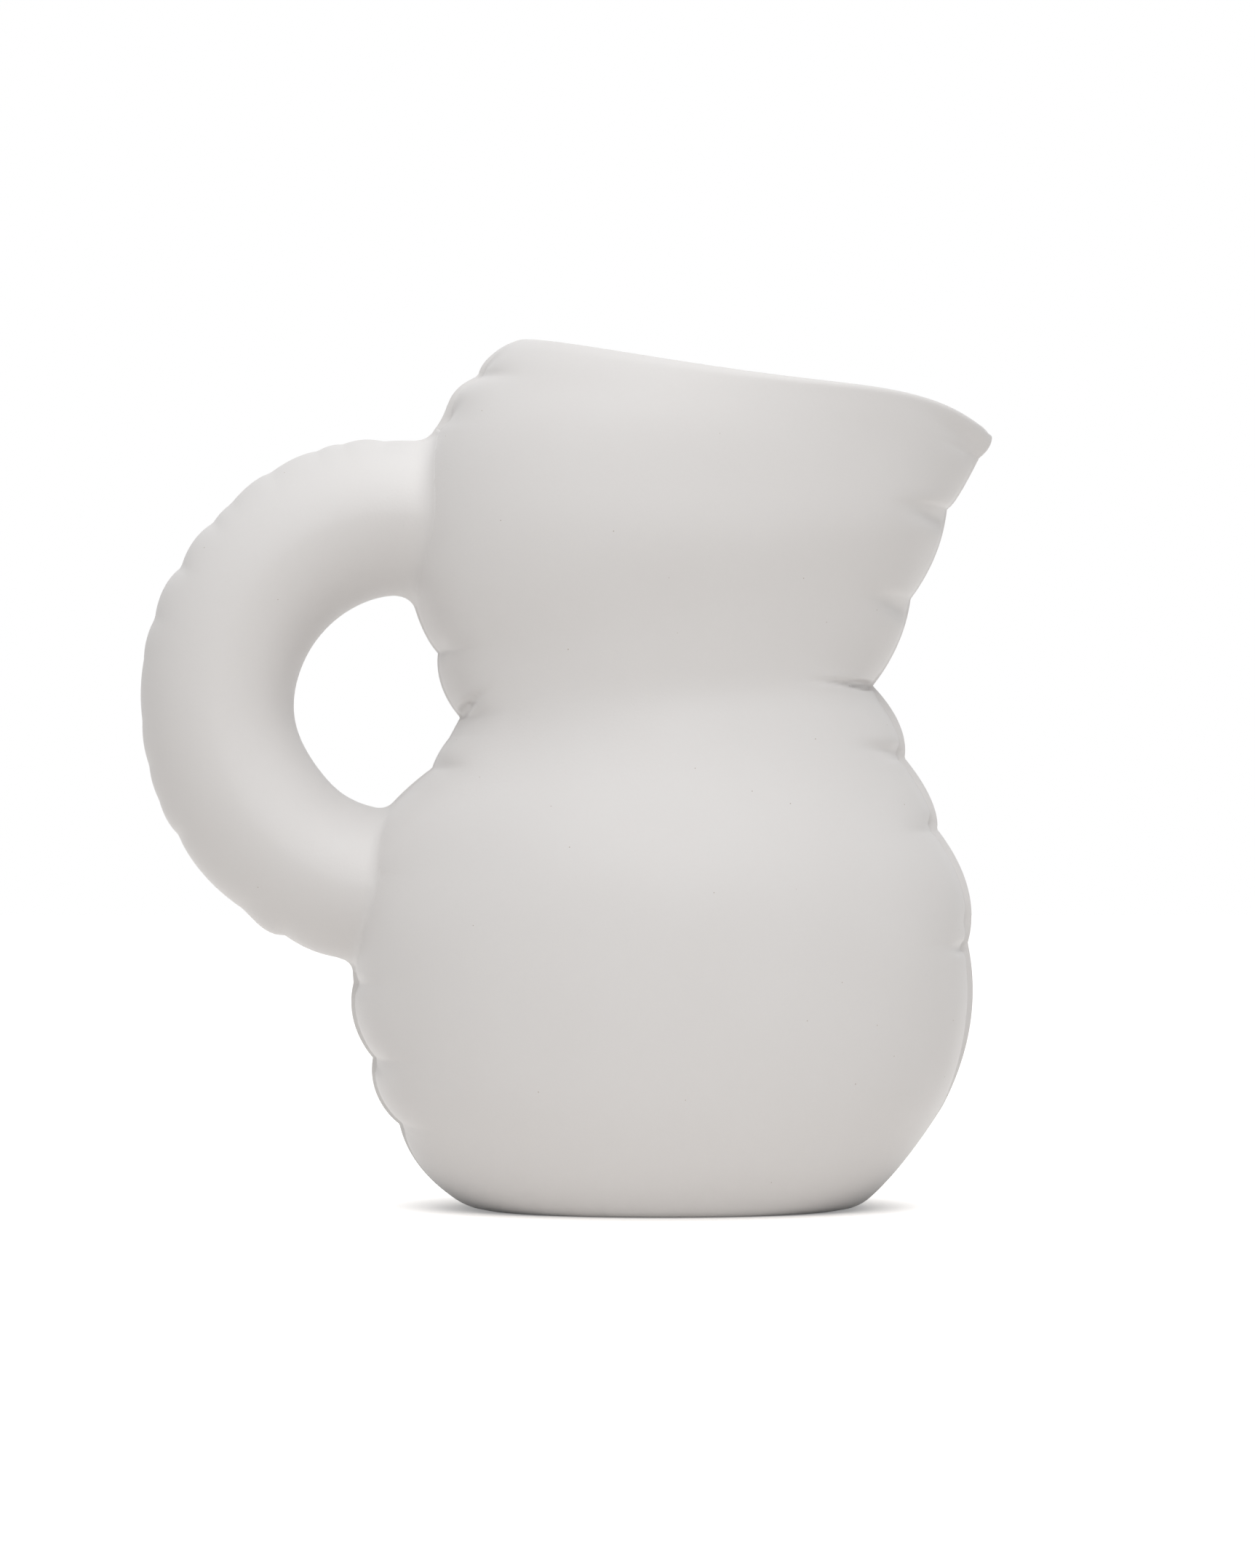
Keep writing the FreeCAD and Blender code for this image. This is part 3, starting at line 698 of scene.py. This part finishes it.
def glaze_skin(extra, low):
    """Rows from the floor's middle out, round the corner and up the wall."""
    places = np.linspace(0, 1, FIRST_SPAN_PLACES)
    start = np.interp(low, height_at(MIDDLE_UP, places), places)
    top = RIM_PLACE - GLAZE_BELOW_RIM / RIM_SPAN
    places = rows_between(start, top, INSIDE_ROW_STEP / 2)[:, None]
    walls = ring_of(body_points(places, HALF_ANGLES[None, :], wall_at(places) + GLAZE_GAP + extra))
    walls[0, :, 2] = low
    shares = np.linspace(FLOOR_MIDDLE, 1, FLOOR_RINGS, endpoint=False)[:, None, None]
    floor = walls[:1] * np.concatenate([shares, shares, np.ones_like(shares)], axis=2)
    return np.concatenate([floor, walls])


glaze_outside = glaze_skin(0, FLOOR_HEIGHT)
glaze_inside = glaze_skin(GLAZE_THICKNESS, FLOOR_HEIGHT + GLAZE_THICKNESS)
glaze_rows = np.concatenate([glaze_outside, glaze_inside[::-1]])
glaze_lining = make_piece(
    "glaze_lining", glaze_rows, grid_faces(glaze_rows.shape[0], glaze_rows.shape[1], close_rows=True))

# %% [markdown]
# Shader sums are easier to read as sums. This small class holds the output of one node, and the usual
# signs between two of them, or between one and a number, add the Math node that works it out.

# %% A socket that can stand in a sum
class Wire:
    def __init__(self, finish, output):
        self.finish, self.output = finish, output

    def _sum(self, operation, first, second):
        return self.finish.node("ShaderNodeMath", {"operation": operation}, {0: first, 1: second})

    def __add__(self, other):
        return self._sum("ADD", self, other)

    def __radd__(self, other):
        return self._sum("ADD", other, self)

    def __sub__(self, other):
        return self._sum("SUBTRACT", self, other)

    def __rsub__(self, other):
        return self._sum("SUBTRACT", other, self)

    def __mul__(self, other):
        return self._sum("MULTIPLY", self, other)

    def __rmul__(self, other):
        return self._sum("MULTIPLY", other, self)

    def __lt__(self, other):
        return self._sum("LESS_THAN", self, other)


class Finish:
    """A node tree, emptied, with one method that adds any node to it."""

    def __init__(self, owner):
        owner.use_nodes = True
        self.owner, self.tree = owner, owner.node_tree
        self.tree.nodes.clear()

    def node(self, kind, settings=None, sockets=None, output=0):
        made = self.tree.nodes.new(kind)
        for name, value in (settings or {}).items():
            setattr(made, name, value)
        for name, value in (sockets or {}).items():
            if isinstance(value, Wire):
                self.tree.links.new(value.output, made.inputs[name])
            else:
                made.inputs[name].default_value = value
        return Wire(self, made.outputs[output]) if len(made.outputs) else made

    def blend(self, share, first, second):
        """A colour between two colours."""
        return self.node(
            "ShaderNodeMix", {"data_type": "RGBA"}, {"Factor": share, "A": first, "B": second}, 2)

    def between(self, share, first, second):
        """A shader between two shaders."""
        return self.node("ShaderNodeMixShader", {}, {0: share, 1: first, 2: second})


# %% [markdown]
# White earthenware, fired and left bare, is a soft warm white. Close up it has a fine grain, a little
# cloudiness and now and then a dark speck. It is matt, with a faint satin sheen where it was sponged.
# A painted picture could carry all that, but noise in the object's own space needs no picture and no
# unwrapping, and it runs on over every edge.

# %% Bare clay
CLAY_COLOUR = (0.798, 0.784, 0.777, 1)
CLOUD_COLOUR = (0.778, 0.760, 0.750, 1)
SPECK_COLOUR = (0.42, 0.36, 0.30, 1)
CLOUD_SCALE = 45
GRAIN_SCALE = 1500
SPECK_SCALE = 130
SPECK_SIZE = 0.022
SPECK_STRENGTH = 0.7
# How much the clouds and the grain tint the clay, and how much of both is taken off again.
CLOUD_TINT, GRAIN_TINT, LESS_TINT = 0.7, 0.5, 0.1
# Metres.
GRAIN_HEIGHT = 0.00003
CLAY_ROUGHNESS, CLOUD_ROUGHNESS = 0.45, 0.12
CLAY_GLOSS = 0.25


def noise(finish, place, scale, detail):
    return finish.node("ShaderNodeTexNoise", {}, {"Vector": place, "Scale": scale, "Detail": detail})


def relief(finish, height, distance):
    """Fine relief for a shader's Normal, as high as the distance in metres."""
    return finish.node("ShaderNodeBump", {}, {"Height": height, "Distance": distance, "Strength": 1.0})


def clay_finish():
    finish = Finish(bpy.data.materials.new("bare_clay"))
    place = finish.node("ShaderNodeTexCoord", output="Object")
    clouds, grain = noise(finish, place, CLOUD_SCALE, 4), noise(finish, place, GRAIN_SCALE, 3)
    speck = finish.node("ShaderNodeTexVoronoi", {}, {"Vector": place, "Scale": SPECK_SCALE}) < SPECK_SIZE
    tint = clouds * CLOUD_TINT + grain * GRAIN_TINT - LESS_TINT
    colour = finish.blend(tint, CLAY_COLOUR, CLOUD_COLOUR)
    colour = finish.blend(speck * SPECK_STRENGTH, colour, SPECK_COLOUR)
    clay = finish.node("ShaderNodeBsdfPrincipled", {}, {
        "Base Color": colour,
        "Roughness": CLAY_ROUGHNESS + CLOUD_ROUGHNESS * (clouds - 0.5),
        "Specular IOR Level": CLAY_GLOSS,
        "Normal": relief(finish, grain, GRAIN_HEIGHT),
    })
    finish.node("ShaderNodeOutputMaterial", {}, {"Surface": clay})
    return finish.owner


bare_clay = clay_finish()
print(bare_clay.name, "has", len(bare_clay.node_tree.nodes), "nodes")

# %% [markdown]
# The clear glaze inside lets the same white clay show, a little cooler, under a smooth wet-looking
# coat. Where it ran a little thicker it is slightly darker. Glass over clay would be truer, but it is slow
# to render, and on a layer this thin one smooth and slightly clouded surface looks the same.

# %% Clear glaze
GLAZE_COLOUR = (0.79, 0.78, 0.76, 1)
GLAZE_POOL_COLOUR = (0.74, 0.73, 0.70, 1)
RIPPLE_SCALE = 260
# Metres.
RIPPLE_HEIGHT = 0.00006
GLAZE_ROUGHNESS, RIPPLE_ROUGHNESS = 0.16, 0.08


def glaze_finish():
    finish = Finish(bpy.data.materials.new("clear_glaze"))
    place = finish.node("ShaderNodeTexCoord", output="Object")
    clouds, ripple = noise(finish, place, CLOUD_SCALE, 3), noise(finish, place, RIPPLE_SCALE, 1)
    glaze = finish.node("ShaderNodeBsdfPrincipled", {}, {
        "Base Color": finish.blend(clouds, GLAZE_COLOUR, GLAZE_POOL_COLOUR),
        "Roughness": GLAZE_ROUGHNESS + RIPPLE_ROUGHNESS * (ripple - 0.5),
        "Normal": relief(finish, ripple, RIPPLE_HEIGHT),
    })
    finish.node("ShaderNodeOutputMaterial", {}, {"Surface": glaze})
    return finish.owner


clear_glaze = glaze_finish()
print(clear_glaze.name, "has", len(clear_glaze.node_tree.nodes), "nodes")

# %% [markdown]
# Each piece gets its finish and rides on the jug's one body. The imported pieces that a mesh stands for
# are hidden by name. The base slab is right as it was built, so it only gets the clay.

# %% Dress the pieces
def wear(piece, finish):
    piece.data.materials.clear()
    piece.data.materials.append(finish)


for piece, finish, slot, nodes in (
    (jug_body, bare_clay, "clay", ("front_body_sheet", "back_body_sheet")),
    (handle, bare_clay, "clay",
     ("handle_front_half", "handle_back_half", "upper_handle_joint", "lower_handle_joint")),
    (glaze_lining, clear_glaze, "glaze", ("inner_glaze",)),
):
    wear(piece, finish)
    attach(piece, "root")
    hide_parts(*nodes)
    print(piece.name, "wears", finish.name, "for", ", ".join(nodes))
wear(frame["nodes"]["base_slab"], bare_clay)

# %% [markdown]
# The jug stands on a white sweep. To the camera alone the sweep glows a little, less so near the foot,
# where that paints a deeper shadow over the jug's own soft one. It comes out white that way, and the lamps
# needn't be turned up for it. For the jug it is a pale floor with a painted glow round the foot: a painted
# bounce light that lights the underside.
# Left and right of the foot, only the light that it sends to the jug is dimmed, as by a deeper shade. The
# lowest part of both sides is as dark as in the photograph that way. A real sweep curves up behind the
# jug, but this floor runs so far back that no bend is needed.

# %% Floor's finish
FLOOR_COLOUR = (0.9, 0.875, 0.85, 1)
SHADE_COLOUR = (0.15, 0.15, 0.15, 1)
# How far from the jug's middle each change of the floor starts and ends, in metres.
GLOW_REACH, BOUNCE_REACH, SHADE_REACH = (0.042, 0.1), (0.042, 0.2), (0.06, 0.085)
# The shade is this much shorter from front to back.
SHADE_SQUEEZE = 2
# A painted bounce light: round the foot the floor glows this much for the jug.
FOOT_BOUNCE = 0.06
# The glow that the camera sees. Less of it at the foot paints a deeper shadow there.
FLOOR_GLOW_AT_FOOT, FLOOR_GLOW = 0.25, 0.9


def seen_by_eye(finish):
    """One for rays from the camera, from gloss and through glass, and zero for light on the object."""
    camera_ray, glossy_ray, glass_ray = (finish.node("ShaderNodeLightPath", output=name) for name in (
        "Is Camera Ray", "Is Glossy Ray", "Is Transmission Ray"))
    return finish.node(
        "ShaderNodeMath", {"operation": "MINIMUM"}, {0: camera_ray + glossy_ray + glass_ray, 1: 1.0})


floor_finish = Finish(bpy.data.materials.new("white_floor"))
place = floor_finish.node("ShaderNodeTexCoord", output="Object")
paint = floor_finish.node("ShaderNodeBsdfDiffuse", {}, {"Color": FLOOR_COLOUR})
shade = floor_finish.node("ShaderNodeBsdfDiffuse", {}, {"Color": SHADE_COLOUR})


def fading(reach, squeeze=1):
    """Zero at the jug and one far from it."""
    squeezed = floor_finish.node(
        "ShaderNodeVectorMath", {"operation": "MULTIPLY"}, {0: place, 1: (1, squeeze, 1)})
    distance = floor_finish.node("ShaderNodeVectorMath", {"operation": "LENGTH"}, {0: squeezed}, "Value")
    return floor_finish.node("ShaderNodeMapRange", {"interpolation_type": "SMOOTHSTEP"}, {
        "Value": distance, "From Min": reach[0], "From Max": reach[1]})


def painted(strength):
    """The floor's matt paint with a glow of its own added."""
    glow = floor_finish.node("ShaderNodeEmission", {}, {"Strength": strength})
    return floor_finish.node("ShaderNodeAddShader", {}, {0: paint, 1: glow})


bounce = floor_finish.between(fading(BOUNCE_REACH), painted(FOOT_BOUNCE), paint)
bounce = floor_finish.between(fading(SHADE_REACH, SHADE_SQUEEZE), shade, bounce)
white_sweep = floor_finish.between(fading(GLOW_REACH), painted(FLOOR_GLOW_AT_FOOT), painted(FLOOR_GLOW))
floor_finish.node("ShaderNodeOutputMaterial", {}, {
    "Surface": floor_finish.between(seen_by_eye(floor_finish), bounce, white_sweep),
})
print(floor_finish.owner.name, "has", len(floor_finish.tree.nodes), "nodes")

# %% Floor
FLOOR_SIZE = 8

half = FLOOR_SIZE / 2
floor_mesh = bpy.data.meshes.new("floor")
floor_mesh.from_pydata(
    [(-half, -half, 0), (half, -half, 0), (half, half, 0), (-half, half, 0)], [], [(0, 1, 2, 3)])
floor = bpy.data.objects.new("floor", floor_mesh)
floor.data.materials.append(floor_finish.owner)
bpy.context.scene.collection.objects.link(floor)
print("floor, m:", FLOOR_SIZE)

# %% [markdown]
# The light is that of a white tent: a soft fill from all sides, one large softbox overhead and another
# one above the camera. There is no hard shadow anywhere. Each lamp's strength could be guessed and tried,
# but light only adds up. So the jug was looked at under one lamp at a time, and the lamps were then
# weighed until the lit and the dark sides of the bulb, the neck and the handle came out as in the
# photograph.

# %% Light
FILL_STRENGTH = 0.422
SOFTBOXES = {
    # Name: place and width in metres, and power in watts. Both look at the jug's middle.
    "overhead": ((0.1, -0.5, 1.7), 1.8, 17.2),
    "above_the_camera": ((0, -1.6, 1.6), 1.6, 9.4),
}
AIM = Vector((0, 0, 0.12))

world_finish = Finish(bpy.data.worlds.new("white_tent"))
fill = world_finish.node("ShaderNodeBackground", {}, {"Strength": FILL_STRENGTH})
white = world_finish.node("ShaderNodeBackground", {}, {"Color": (1, 1, 1, 1), "Strength": 1.0})
world_finish.node("ShaderNodeOutputWorld", {}, {
    "Surface": world_finish.between(seen_by_eye(world_finish), fill, white),
})
bpy.context.scene.world = world_finish.owner

for name, (place, width, power) in SOFTBOXES.items():
    lamp_data = bpy.data.lights.new(name, "AREA")
    lamp_data.size, lamp_data.energy = width, power
    lamp = bpy.data.objects.new(name, lamp_data)
    lamp.location = place
    lamp.rotation_euler = (AIM - Vector(place)).to_track_quat("-Z", "Y").to_euler()
    lamp.visible_camera = False
    bpy.context.scene.collection.objects.link(lamp)
    print(name, "gives", power, "watts")
bpy.context.scene.view_settings.view_transform = "Standard"
